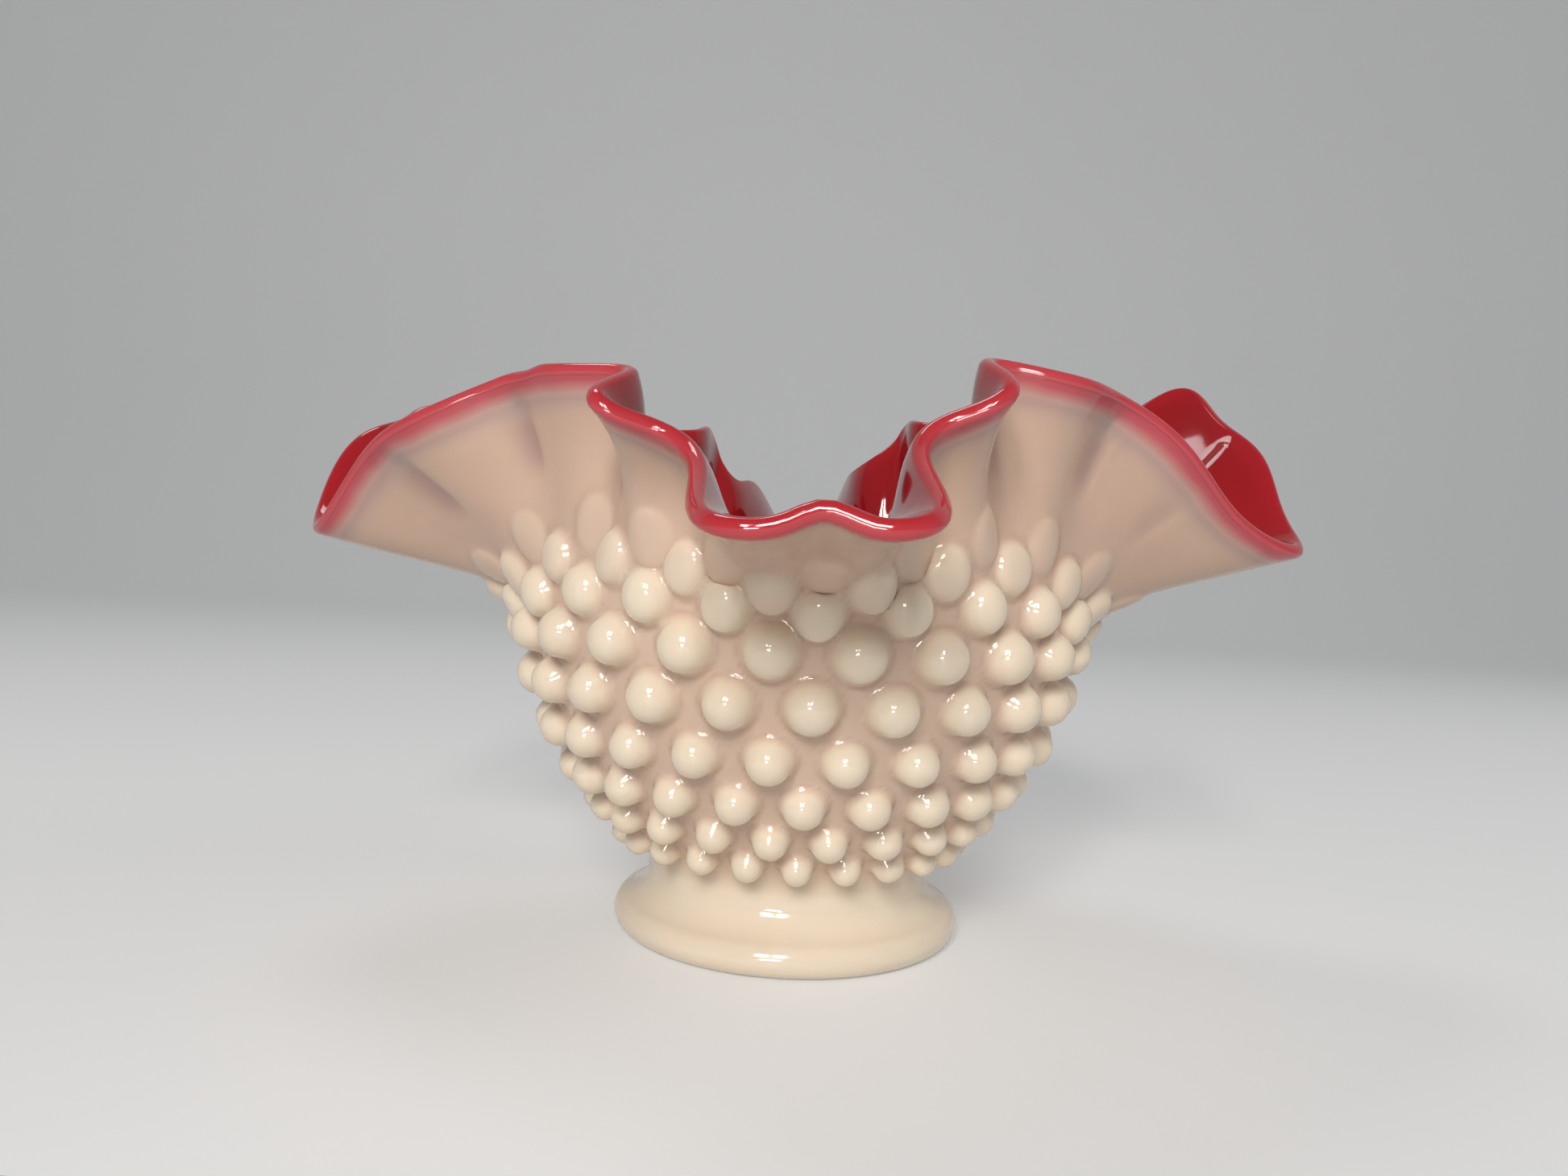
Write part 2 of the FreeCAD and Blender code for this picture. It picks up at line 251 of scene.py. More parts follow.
def inside_run(inset, floor, wall_steps, bend_steps):
    """Half section of an inner face, from the bowl's floor up to the shoulder."""
    bend_top = side_point(floor_bend_top, inset)
    bend_end = np.array([bowl_floor_radius, floor])
    slope = (bend_top - bend_end) / math.dist(bend_top, bend_end)
    bend = (bend_top + bend_end) / 2 + np.array([slope[1], -slope[0]]) * floor_bend_bow
    return np.vstack([
        straight_run((0.0, floor), bend_end, 3),
        arc_run(bend_end, bend, bend_top, bend_steps),
        side_run(inset, floor_bend_top, wall_steps)])


def turned(section):
    """Rows of points that a half section makes when it is spun around the vase's axis."""
    turns = 2 * math.pi * np.arange(columns) / columns
    rows = np.empty((len(section), columns, 3))
    rows[:, :, 0] = section[:, :1] * np.sin(turns)
    rows[:, :, 1] = -section[:, :1] * np.cos(turns)
    rows[:, :, 2] = section[:, 1:]
    return rows


# ---- the skirt ----------------------------------------------------------------------------------
def around(turn, radius, height):
    angle = math.radians(turn)
    return np.array([radius * math.sin(angle), -radius * math.cos(angle), height])


def evenly_along(points, count):
    """Evenly spaced points along the smooth closed line through the given ones."""
    total = len(points)
    ahead = np.roll(points, -1, axis=0)
    gaps = np.linalg.norm(ahead - points, axis=1)
    before = np.roll(gaps, 1)
    pull = np.zeros((total, total))
    for i in range(total):
        pull[i, i] = 2 * (before[i] + gaps[i])
        pull[i, i - 1] += before[i]
        pull[i, (i + 1) % total] += gaps[i]
    slopes = (ahead - points) / gaps[:, None]
    bends = np.linalg.solve(pull, 6 * (slopes - np.roll(slopes, 1, axis=0)))
    dense = []
    for i in range(total):
        t = np.linspace(0, gaps[i], 200, endpoint=False)[:, None]
        near, far = bends[i], bends[(i + 1) % total]
        start = slopes[i] - gaps[i] * (2 * near + far) / 6
        dense.append(points[i] + start * t + near * t ** 2 / 2 + (far - near) * t ** 3 / (6 * gaps[i]))
    dense = np.vstack(dense + [points[:1]])
    length = np.concatenate([[0], np.cumsum(np.linalg.norm(np.diff(dense, axis=0), axis=1))])
    places = length[-1] * np.arange(count) / count
    return np.column_stack([np.interp(places, length, dense[:, axis]) for axis in range(3)])


def smoothed(ring, span):
    return (np.roll(ring, span, axis=0) + 2 * ring + np.roll(ring, -span, axis=0)) / 4


def without_crimps(ring):
    return smoothed(smoothed(ring, crimp_span), crimp_span)


def lip_ring():
    """The middle of the lip: four waves, each with five pinches, their folds rounded in the fire."""
    points = []
    for crimp in crimps:
        for turn, reach, rise in (crimp[:3], crimp[3:]):
            radius = bowl_shoulder[0] - milk_wall + reach * skirt_reach
            points.append(around(turn, radius, bowl_shoulder[1] + rise * skirt_rise))
    ring = evenly_along(np.array(points), skirt_stations)
    for _ in range(fold_softening):
        ring = smoothed(ring, 1)
    waves = without_crimps(ring)
    lip = waves + (ring - waves) * crimp_gain
    for bump_turn, height, half_width in lip_bumps:
        turn = np.degrees(np.arctan2(lip[:, 0], -lip[:, 1])) - bump_turn
        away = np.hypot(lip[:, 0], lip[:, 1]) * np.radians((turn + 180) % 360 - 180)
        lip[:, 2] += height * np.exp(-(away / half_width) ** 2)
    return lip


def skirt_rings():
    """Four rings that steer the middle of the skirt's wall, from the shoulder to the lip."""
    lip = lip_ring()
    waves = without_crimps(lip)
    normal = side_normal(bowl_shoulder[1])
    start = side_point(bowl_shoulder[1], half_wall)
    turns = 360.0 * np.arange(skirt_stations) / skirt_stations
    above_dips = np.clip((waves[:, 2] - bowl_shoulder[1]) / skirt_rise - dip_rise, 0, None)
    lift = np.minimum(above_dips / (1 - dip_rise), steepest_lift)[:, None]
    outward = waves * [1, 1, 0]
    outward /= np.linalg.norm(outward, axis=1)[:, None]
    wave_turns = np.degrees(np.arctan2(waves[:, 0], -waves[:, 1]))
    tuck = front_tuck * np.exp(-(wave_turns / front_tuck_turn) ** 2)
    run = shoulder_run * (1 + lift[:, 0]) + tuck
    shoulder = np.array([around(turn, start[0], start[1]) for turn in turns])
    leaning = np.array([
        around(turn, start[0] - r * normal[1], start[1] + r * normal[0]) for turn, r in zip(turns, run)])
    in_by = hang_out - hang_out_loss * lift
    down_by = hang_down + hang_down_gain * lift - tuck[:, None]
    hanging = waves - outward * in_by - np.array([0, 0, 1]) * down_by + (lip - waves) * crimp_depth_below_lip
    return np.array([shoulder, leaning, hanging, lip])


def poles_through(rings):
    """Control points of the closed cubic splines that pass through the rings' points."""
    count = rings.shape[1]
    weight = (4 + 2 * np.cos(2 * np.pi * np.arange(count) / count)) / 6
    return np.fft.ifft(np.fft.fft(rings, axis=1) / weight[None, :, None], axis=1).real


def spline_weights(places):
    t = places - np.floor(places)
    value = [
        (1 - t) ** 3 / 6, (3 * t ** 3 - 6 * t ** 2 + 4) / 6,
        (-3 * t ** 3 + 3 * t ** 2 + 3 * t + 1) / 6, t ** 3 / 6]
    slope = [-(1 - t) ** 2 / 2, (3 * t ** 2 - 4 * t) / 2, (-3 * t ** 2 + 2 * t + 1) / 2, t ** 2 / 2]
    return value, slope


def along_rings(poles, places):
    """Points and their slope around, at these places of each ring."""
    count = poles.shape[1]
    base = np.floor(places).astype(int)
    value, slope = spline_weights(places)
    points = sum(poles[:, (base + k - 1) % count] * value[k][None, :, None] for k in range(4))
    slopes = sum(poles[:, (base + k - 1) % count] * slope[k][None, :, None] for k in range(4))
    return points, slopes


def climb_weights(way):
    rest = 1 - way
    value = [rest ** 3, 3 * rest ** 2 * way, 3 * rest * way ** 2, way ** 3]
    slope = [-3 * rest ** 2, 3 * rest ** 2 - 6 * rest * way, 6 * rest * way - 3 * way ** 2, 3 * way ** 2]
    return value, slope


def skirt_middle(places, way):
    """The middle of the skirt's wall at one way up: points, unit normals outwards, unit climb."""
    points, slopes = along_rings(skirt_poles, places)
    value, slope = climb_weights(way)
    at = sum(points[k] * value[k] for k in range(4))
    around_it = sum(slopes[k] * value[k] for k in range(4))
    climb = sum(points[k] * slope[k] for k in range(4))
    normal = np.cross(around_it, climb)
    normal /= np.linalg.norm(normal, axis=1)[:, None]
    return at, normal, climb / np.linalg.norm(climb, axis=1)[:, None]


skirt_poles = poles_through(skirt_rings())
column_places = skirt_stations * np.arange(columns) / columns


def crease_depth(way):
    """How far the wall is folded in by the creases, along one row of the skirt."""
    total = np.zeros(columns)
    for station, depth in creases:
        away = (column_places - station + skirt_stations / 2) % skirt_stations - skirt_stations / 2
        total += depth * np.exp(-(away / np.where(away < 0, crease_soft, crease_sharp)) ** 2)
    climbing = np.clip((way - crease_from) / (crease_full - crease_from), 0, 1)
    return total * climbing * climbing * (3 - 2 * climbing) * np.clip((1 - way) / crease_fade, 0, 1)


def skirt_row(way, at_shoulder, at_lip, creased):
    """One row of the skirt, off the middle of the wall by a distance that changes up the skirt."""
    at, normal, _ = skirt_middle(column_places, way)
    off = at_shoulder * (1 - way) + at_lip * way - (crease_depth(way) if creased else np.zeros(columns))
    return at + normal * off[:, None]


def skirt_face(ways, at_shoulder, at_lip, creased=False):
    return np.array([skirt_row(way, at_shoulder, at_lip, creased) for way in ways])


# ---- meshes -------------------------------------------------------------------------------------
def glass_mesh(name, rows, first_tip, last_tip, marks):
    """A closed mesh over rows of points, with a tip on the axis at each end and marks on its points."""
    count = len(rows)
    points = np.vstack([rows.reshape(-1, 3), [first_tip], [last_tip]]) * MM
    start = np.arange(count - 1)[:, None] * columns
    here = np.arange(columns)[None, :]
    there = (here + 1) % columns
    quads = np.stack([start + here, start + there, start + columns + there, start + columns + here], axis=-1)
    bottom, top = count * columns, count * columns + 1
    last = (count - 1) * columns
    faces = quads.reshape(-1, 4).tolist()
    for i in range(columns):
        after = (i + 1) % columns
        faces.append([bottom, after, i])
        faces.append([last + i, last + after, top])
    mesh = bpy.data.meshes.new(name)
    mesh.from_pydata(points.tolist(), [], faces)
    for mark, values in marks.items():
        numbers = np.concatenate([values.reshape(-1), [values.flat[0], values.flat[-1]]])
        mesh.attributes.new(mark, "FLOAT", "POINT").data.foreach_set("value", numbers.astype(np.float32))
    mesh.shade_smooth()
    mesh.validate()
    piece = bpy.data.objects.new(name, mesh)
    bpy.context.scene.collection.objects.link(piece)
    return piece


def down_from_lip(rows):
    """For each point of rows that climb to the lip, the distance along the glass that is left."""
    steps = np.linalg.norm(np.diff(rows, axis=0), axis=2)
    left = np.zeros(rows.shape[:2])
    left[:-1] = np.cumsum(steps[::-1], axis=0)[::-1]
    return left


def milk_glass_body():
    """The outer gather, from under the foot to the lip and back down its face against the ruby."""
    outline = np.vstack([foot_run(), side_run(0, bowl_base[1], bowl_side_steps)])[1:]
    bowl_rows = turned(outline)
    ways = np.concatenate([
        np.linspace(0, skirt_fine_to, skirt_fine_steps, endpoint=False),
        np.linspace(skirt_fine_to, skirt_plain_to, skirt_plain_steps), last_skirt_ways])
    outer = skirt_face(ways, half_wall, half_lip, creased=True)
    off_middle = half_wall - milk_wall + between_gathers
    off_middle_at_lip = half_lip - milk_wall_at_lip + between_gathers
    seam = skirt_face(np.linspace(1, 0, seam_steps), off_middle, off_middle_at_lip)
    floor = bowl_floor_height - ruby_wall - between_gathers
    section = inside_run(milk_wall - between_gathers, floor, hidden_wall_steps, hidden_bend_steps)
    inside = turned(section[1:])[::-1]
    rows = np.concatenate([bowl_rows, outer, seam, inside])

    skirt_start = len(bowl_rows)
    skirt = slice(skirt_start, skirt_start + len(outer))
    below_lip = np.full(rows.shape[:2], far_below_lip)
    below_lip[skirt] = down_from_lip(outer)
    below_lip[skirt.stop] = 0
    hob_ground = np.zeros(rows.shape[:2])
    bowl_start = len(foot_run()) - 1
    hob_ground[bowl_start - hob_rows_below_bowl:skirt_start + hob_rows_on_skirt] = 1
    opal_and_root_shade = np.clip((thin_from - rows[:, :, 2]) / (thin_from - thick_below), bowl_thickness, 1)
    opal_and_root_shade[skirt] *= (1 - ways)[:, None] ** skirt_thinning
    # painted shade: how far each point of the skirt is darkened along the creases, from the creases' depth
    crease_shade_amount = np.zeros(rows.shape[:2])
    deepest_crease = max(depth for _, depth in creases)
    crease_shade_amount[skirt] = np.array([crease_depth(way) for way in ways]) / deepest_crease
    return glass_mesh(
        "milk_glass", rows, (0, 0, foot_recess_depth), (0, 0, floor),
        {"below_lip": below_lip, "hob_ground": hob_ground, "opal_and_root_shade": opal_and_root_shade, "crease_shade_amount": crease_shade_amount})


def lip_roll():
    """Rows of the ruby's rounded edge, from the milk glass's edge over to the inner face."""
    at, normal, climb = skirt_middle(column_places, 1.0)
    push = climb * half_lip * half_round
    outer = at + normal * half_lip + climb * between_gathers
    inner = at - normal * half_lip
    steered_by = (outer, outer + push, inner + push, inner)
    roll = []
    for way in [0, first_roll_way, *np.linspace(0, 1, roll_steps)[1:-1]]:
        value, _ = climb_weights(way)
        roll.append(sum(ring * share for ring, share in zip(steered_by, value)))
    return np.array(roll)


def ruby_lining():
    """The inner gather, with its edge rolled over the milk glass."""
    under_floor = bowl_floor_height - ruby_wall
    hidden_bowl = turned(inside_run(milk_wall, under_floor, hidden_wall_steps, hidden_bend_steps)[1:])
    hidden_skirt = skirt_face(
        np.linspace(0, 1, hidden_skirt_steps), half_wall - milk_wall, half_lip - milk_wall_at_lip)
    roll = lip_roll()
    ways = np.concatenate([
        np.linspace(1, inner_lip_from, inner_lip_steps, endpoint=False),
        np.linspace(inner_lip_from, 0, inner_skirt_steps)])
    inner_skirt = skirt_face(ways, -half_wall, -half_lip, creased=True)
    section = inside_run(milk_wall + ruby_wall, bowl_floor_height, inner_wall_steps, inner_bend_steps)
    inner_bowl = turned(section[1:])[::-1]
    rows = np.concatenate([hidden_bowl, hidden_skirt, roll, inner_skirt, inner_bowl])

    below_lip = np.full(rows.shape[:2], far_below_lip)
    roll_start = len(hidden_bowl) + len(hidden_skirt)
    inner_start = roll_start + len(roll)
    roll_left = np.array([1, *np.linspace(1, 0, len(roll) - 1)])[:, None]
    below_lip[roll_start - 1] = -roll_length
    below_lip[roll_start:inner_start] = -roll_length * roll_left
    below_lip[inner_start:inner_start + len(inner_skirt)] = down_from_lip(inner_skirt[::-1])[::-1]
    return glass_mesh(
        "ruby_glass", rows, (0, 0, under_floor), (0, 0, bowl_floor_height), {"below_lip": below_lip})


# ---- hobnails, raised out of the milk glass ------------------------------------------------------
# section of a hob from its tip to where it has melted into the wall:
# share of the flare's radius, share of the standout
hob_section = [
    (0.00, 1.000), (0.178, 0.982), (0.347, 0.925), (0.497, 0.818), (0.618, 0.672), (0.694, 0.515),
    (0.744, 0.365), (0.792, 0.230), (0.846, 0.118), (0.905, 0.045), (0.955, 0.010), (1.00, 0.000),
]
# at each of these points, how opal the hob is, and how much the wall round its root is darkened: partly ruby
# showing through the thinner glass there, partly painted shade in the crevice
hob_crown = [1, 1, 1, 1, 1, 0.96, 0.85, 0.62, 0.36, 0.15, 0.04, 0]
hob_root_shade = [0, 0, 0, 0, 0, 0, 0.15, 0.4, 0.7, 0.9, 0.7, 0]
full_standout = 3.2           # a hob that stands out this far is as opal as the foot
hob_flare = 1.27              # radius where the hob has melted into the wall, over its root radius
hob_tallness = 0.85           # standout over the flare's radius, for spacing the section's points evenly
hob_unevenness = 0.06         # how much smaller than drawn a hob may have come out of the mould
tallness_seed, width_seed = 3, 8
hob_tip_share = 0.002         # stands for the hob's very tip, where a share of its radius would be nothing


def hob_centres():
    """A cloud of points, one for each hob, that knows its direction and size."""
    pitch = 360.0 / hobs_per_row
    spots, axes, climbs, roots, standouts, draws = [], [], [], [], [], []
    for row, (height, diameter, standout) in enumerate(bowl_hob_rows):
        point, normal = side_point(height), side_normal(height)
        for i in range(hobs_per_row):
            turn = first_row_turn + (row % 2) * pitch / 2 + pitch * i
            spots.append(around(turn, *point))
            axes.append(around(turn, *normal))
            climbs.append(around(turn, -normal[1], normal[0]))
            roots.append(diameter / 2)
            standouts.append(standout)
            draws.append(1.0)
    for row, (way, diameter, standout, draw) in enumerate(skirt_hob_rows, len(bowl_hob_rows)):
        turns = first_row_turn + (row % 2) * pitch / 2 + pitch * np.arange(hobs_per_row)
        at, normal, climb = skirt_middle(skirt_stations * turns / 360.0, way)
        surface = at + normal * (half_wall * (1 - way) + half_lip * way)
        spots.extend(surface)
        axes.extend(normal)
        climbs.extend(climb)
        roots.extend([diameter / 2] * hobs_per_row)
        standouts.extend([standout] * hobs_per_row)
        draws.extend([draw] * hobs_per_row)
    mesh = bpy.data.meshes.new("hob_centres")
    mesh.from_pydata((np.array(spots) * MM).tolist(), [], [])
    for mark, kind, values in (
            ("axis", "FLOAT_VECTOR", axes), ("climb", "FLOAT_VECTOR", climbs),
            ("root_radius", "FLOAT", np.array(roots) * MM), ("standout", "FLOAT", np.array(standouts) * MM),
            ("drawn_out", "FLOAT", draws)):
        slot = "vector" if kind == "FLOAT_VECTOR" else "value"
        numbers = np.array(values, np.float32).reshape(-1)
        mesh.attributes.new(mark, kind, "POINT").data.foreach_set(slot, numbers)
    piece = bpy.data.objects.new("hob_centres", mesh)
    bpy.context.scene.collection.objects.link(piece)
    return piece


def hob_raising_tree():
    """Raises a round-tipped hob out of the wall at every centre, with a soft fillet round its root."""
    tree = bpy.data.node_groups.new("raise_hobs", "GeometryNodeTree")
    tree.interface.new_socket("Geometry", in_out="INPUT", socket_type="NodeSocketGeometry")
    tree.interface.new_socket("Hob Centres", in_out="INPUT", socket_type="NodeSocketObject")
    tree.interface.new_socket("Root Flare", in_out="INPUT", socket_type="NodeSocketFloat")
    tree.interface.new_socket("Unevenness", in_out="INPUT", socket_type="NodeSocketFloat")
    tree.interface.new_socket("Glass", in_out="INPUT", socket_type="NodeSocketMaterial")
    tree.interface.new_socket("Geometry", in_out="OUTPUT", socket_type="NodeSocketGeometry")
    nodes, links = tree.nodes, tree.links

    def add(kind, **settings):
        node = nodes.new(kind)
        for key, value in settings.items():
            setattr(node, key, value)
        return node

    def plug(value, socket):
        if isinstance(value, bpy.types.NodeSocket):
            links.new(value, socket)
        else:
            socket.default_value = value

    def maths(operation, *values):
        node = add("ShaderNodeMath", operation=operation)
        for i, value in enumerate(values):
            plug(value, node.inputs[i])
        return node.outputs[0]

    def vectors(operation, first, second=None, scale=None):
        node = add("ShaderNodeVectorMath", operation=operation)
        plug(first, node.inputs[0])
        if second is not None:
            plug(second, node.inputs[1])
        if scale is not None:
            plug(scale, node.inputs["Scale"])
        return node.outputs["Value"] if operation in ("DOT_PRODUCT", "LENGTH") else node.outputs["Vector"]

    given = add("NodeGroupInput")
    centres = add("GeometryNodeObjectInfo", transform_space="ORIGINAL")
    links.new(given.outputs["Hob Centres"], centres.inputs["Object"])
    position = add("GeometryNodeInputPosition").outputs[0]
    nearest = add("GeometryNodeSampleNearest", domain="POINT")
    links.new(centres.outputs["Geometry"], nearest.inputs["Geometry"])
    links.new(position, nearest.inputs["Sample Position"])

    def of_nearest(kind, field):
        sample = add("GeometryNodeSampleIndex", data_type=kind, domain="POINT")
        links.new(centres.outputs["Geometry"], sample.inputs["Geometry"])
        links.new(field, sample.inputs["Value"])
        links.new(nearest.outputs["Index"], sample.inputs["Index"])
        return sample.outputs["Value"]

    def marked(kind, name):
        node = add("GeometryNodeInputNamedAttribute", data_type=kind)
        node.inputs["Name"].default_value = name
        return node.outputs["Attribute"]

    def uneven(low, high, seed):
        node = add("FunctionNodeRandomValue", data_type="FLOAT")
        plug(low, node.inputs[2])
        plug(high, node.inputs[3])
        links.new(nearest.outputs["Index"], node.inputs["ID"])
        node.inputs["Seed"].default_value = seed
        return node.outputs[1]

    centre = of_nearest("FLOAT_VECTOR", position)
    axis = of_nearest("FLOAT_VECTOR", marked("FLOAT_VECTOR", "axis"))
    climb = of_nearest("FLOAT_VECTOR", marked("FLOAT_VECTOR", "climb"))
    root_radius = of_nearest("FLOAT", marked("FLOAT", "root_radius"))
    standout = of_nearest("FLOAT", marked("FLOAT", "standout"))
    drawn_out = of_nearest("FLOAT", marked("FLOAT", "drawn_out"))
    spread = given.outputs["Unevenness"]
    taller = uneven(maths("SUBTRACT", 1.0, spread), 1.0, tallness_seed)
    wider = uneven(maths("SUBTRACT", 1.0, spread), 1.0, width_seed)

    away = vectors("SUBTRACT", position, centre)
    depth = vectors("DOT_PRODUCT", away, axis)
    flat = vectors("SUBTRACT", away, vectors("SCALE", axis, scale=depth))
    up_share = vectors("DOT_PRODUCT", flat, climb)
    squeeze = maths("SUBTRACT", maths("DIVIDE", 1.0, drawn_out), 1.0)
    rounded = vectors("ADD", flat, vectors("SCALE", climb, scale=maths("MULTIPLY", up_share, squeeze)))
    flare = maths("MULTIPLY", maths("MULTIPLY", root_radius, wider), given.outputs["Root Flare"])
    share = maths("DIVIDE", vectors("LENGTH", rounded), flare)
    clamped = maths("MAXIMUM", maths("MINIMUM", share, 1.0), hob_tip_share)

    length = [0.0]
    for (x0, y0), (x1, y1) in zip(hob_section, hob_section[1:]):
        length.append(length[-1] + math.hypot(x1 - x0, (y1 - y0) * hob_tallness))
    travel = [step / length[-1] for step in length]

    def curve_of(values):
        node = add("ShaderNodeFloatCurve")
        line = node.mapping.curves[0]
        while len(line.points) < len(values):
            line.points.new(0.5, 0.5)
        for i, (x, y) in enumerate(zip(travel, values)):
            line.points[i].location = (x, y)
            line.points[i].handle_type = "AUTO_CLAMPED"
        node.mapping.update()
        links.new(clamped, node.inputs["Value"])
        return node.outputs["Value"]

    reach = curve_of([x for x, _ in hob_section])
    rise = curve_of([y for _, y in hob_section])
    narrowing = maths("DIVIDE", reach, clamped)
    sideways = vectors("SCALE", flat, scale=narrowing)
    off_wall = maths("MULTIPLY", depth, maths("MULTIPLY", narrowing, narrowing))
    along = maths("ADD", off_wall, maths("MULTIPLY", maths("MULTIPLY", standout, taller), rise))
    raised = vectors("ADD", centre, vectors("ADD", sideways, vectors("SCALE", axis, scale=along)))
    ground = maths("GREATER_THAN", marked("FLOAT", "hob_ground"), 0.5)
    inside = maths("LESS_THAN", share, 1.0)
    chosen = add("FunctionNodeCompare", data_type="FLOAT", operation="GREATER_THAN")
    links.new(maths("MULTIPLY", ground, inside), chosen.inputs[0])
    chosen.inputs[1].default_value = 0.5
    opal_and_shade_store = add("GeometryNodeStoreNamedAttribute", data_type="FLOAT", domain="POINT")
    opal_and_shade_store.inputs["Name"].default_value = "opal_and_root_shade"
    links.new(given.outputs["Geometry"], opal_and_shade_store.inputs["Geometry"])
    links.new(chosen.outputs[0], opal_and_shade_store.inputs["Selection"])
    fullness = maths("MINIMUM", maths("DIVIDE", standout, full_standout * MM), 1.0)
    # painted shade round each hob's root, partly the ruby showing through thinner glass there, written into
    # the opal mark
    root_shaded = maths("MULTIPLY", marked("FLOAT", "opal_and_root_shade"), maths("SUBTRACT", 1.0, curve_of(hob_root_shade)))
    crowned = maths("MULTIPLY", curve_of(hob_crown), fullness)
    links.new(maths("MAXIMUM", crowned, root_shaded), opal_and_shade_store.inputs["Value"])
    push = add("GeometryNodeSetPosition")
    links.new(opal_and_shade_store.outputs["Geometry"], push.inputs["Geometry"])
    links.new(chosen.outputs[0], push.inputs["Selection"])
    links.new(raised, push.inputs["Position"])
    whole = add("GeometryNodeRealizeInstances")
    links.new(push.outputs["Geometry"], whole.inputs["Geometry"])
    paint = add("GeometryNodeSetMaterial")
    links.new(whole.outputs["Geometry"], paint.inputs["Geometry"])
    links.new(given.outputs["Glass"], paint.inputs["Material"])
    made = add("NodeGroupOutput")
    links.new(paint.outputs["Geometry"], made.inputs["Geometry"])
    return tree


def raise_hobs(piece, glass):
    """Runs the hob tree on the piece and keeps the plain mesh."""
    centres = hob_centres()
    tree = hob_raising_tree()
    modifier = piece.modifiers.new("hobs", "NODES")
    modifier.node_group = tree
    sockets = {item.name: item.identifier for item in tree.interface.items_tree if item.in_out == "INPUT"}
    modifier[sockets["Hob Centres"]] = centres
    modifier[sockets["Root Flare"]] = hob_flare
    modifier[sockets["Unevenness"]] = hob_unevenness
    modifier[sockets["Glass"]] = glass
    evaluated = piece.evaluated_get(bpy.context.evaluated_depsgraph_get())
    mesh = bpy.data.meshes.new_from_object(evaluated)
    piece.modifiers.clear()
    piece.data = mesh
    bpy.data.objects.remove(centres)
    mesh.shade_smooth()


# ---- glass --------------------------------------------------------------------------------------
def new_glass(name):
    glass = bpy.data.materials.new(name)
    glass.use_nodes = True
    return glass, glass.node_tree.nodes, glass.node_tree.links, glass.node_tree.nodes["Principled BSDF"]


def mark_of(nodes, name):
    node = nodes.new("ShaderNodeAttribute")
    node.attribute_name = name
    return node.outputs["Fac"]


def noise_on(nodes, links, scale, detail):
    """Object-space noise; scale is how many swirls to the metre."""
    place = nodes.new("ShaderNodeTexCoord")
    node = nodes.new("ShaderNodeTexNoise")
    node.inputs["Scale"].default_value = scale
    node.inputs["Detail"].default_value = detail
    links.new(place.outputs["Object"], node.inputs["Vector"])
    return node.outputs["Fac"]


def between(nodes, links, value, low, high, at_low, at_high):
    node = nodes.new("ShaderNodeMapRange")
    node.inputs["From Min"].default_value = low
    node.inputs["From Max"].default_value = high
    node.inputs["To Min"].default_value = at_low
    node.inputs["To Max"].default_value = at_high
    links.new(value, node.inputs["Value"])
    return node.outputs["Result"]


def ramp(nodes, links, value, stops):
    node = nodes.new("ShaderNodeValToRGB")
    elements = node.color_ramp.elements
    while len(elements) < len(stops):
        elements.new(0.5)
    for element, (place, colour) in zip(elements, stops):
        element.position = place
        element.color = (*colour, 1)
    links.new(value, node.inputs["Fac"])
    return node.outputs["Color"]


def blend_colours(nodes, links, factor, first, second):
    node = nodes.new("ShaderNodeMix")
    node.data_type = "RGBA"
    for value, socket in ((factor, node.inputs[0]), (first, node.inputs[6]), (second, node.inputs[7])):
        if isinstance(value, bpy.types.NodeSocket):
            links.new(value, socket)
        elif isinstance(value, tuple):
            socket.default_value = (*value, 1)
        else:
            socket.default_value = value
    return node.outputs[2]


